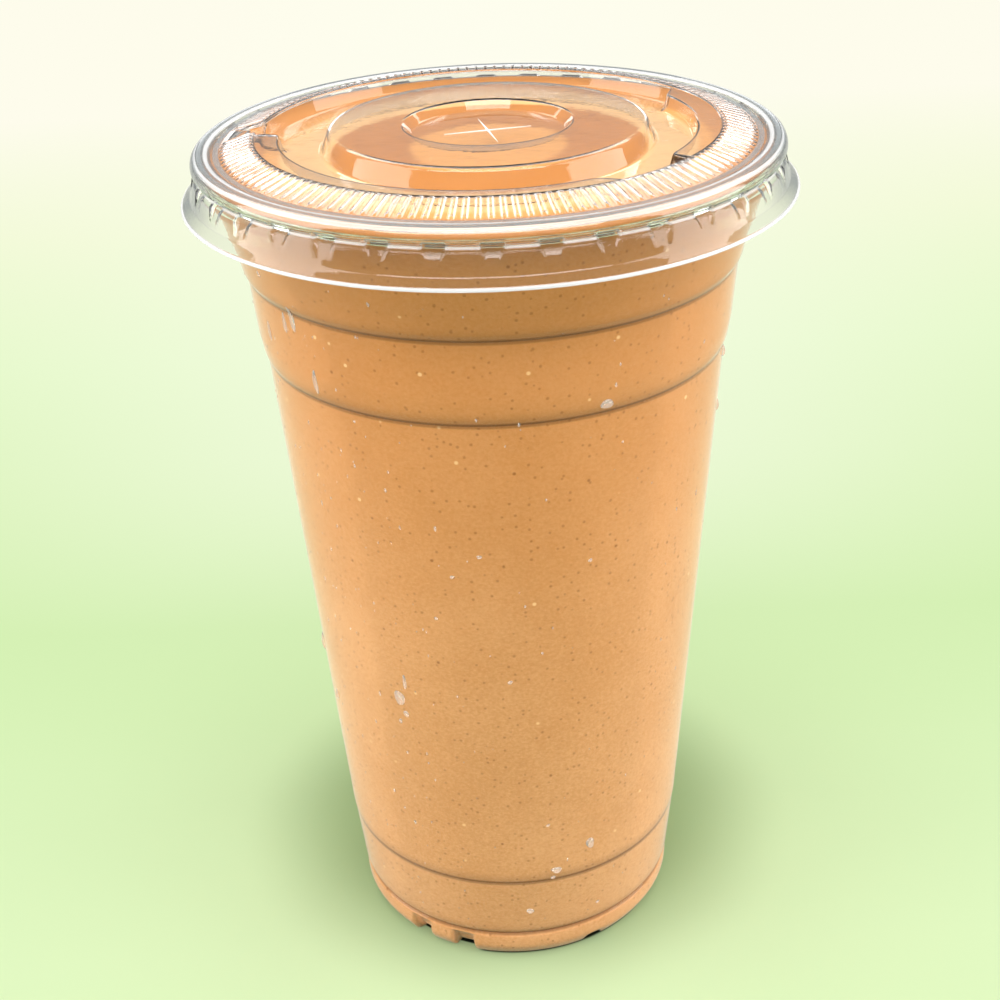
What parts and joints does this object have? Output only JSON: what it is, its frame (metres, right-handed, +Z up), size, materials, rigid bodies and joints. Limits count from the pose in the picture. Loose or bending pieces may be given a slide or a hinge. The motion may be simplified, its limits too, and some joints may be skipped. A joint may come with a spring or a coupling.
{
  "type": "protein shake in a lidded cup",
  "caption": "Brown protein shake in a tall clear plastic cup with pressed rings, closed by a flat clear snap lid with a straw slit.",
  "frame": {"origin": "middle of the cup's base, on the surface it stands on", "axes": "+Z up along the cup's axis, -Y to the front, +X to the right"},
  "size_m": [0.1046, 0.1046, 0.1579],
  "materials": {
    "cup_plastic": "clear, smooth and glossy",
    "lid_plastic": "clear, smooth and glossy",
    "shake": "opaque caramel brown drink with fine dark and pale specks"
  },
  "bodies": {
    "root": {"cup": "cup_plastic", "lid": "lid_plastic", "shake": "shake"}
  },
  "joints": []
}
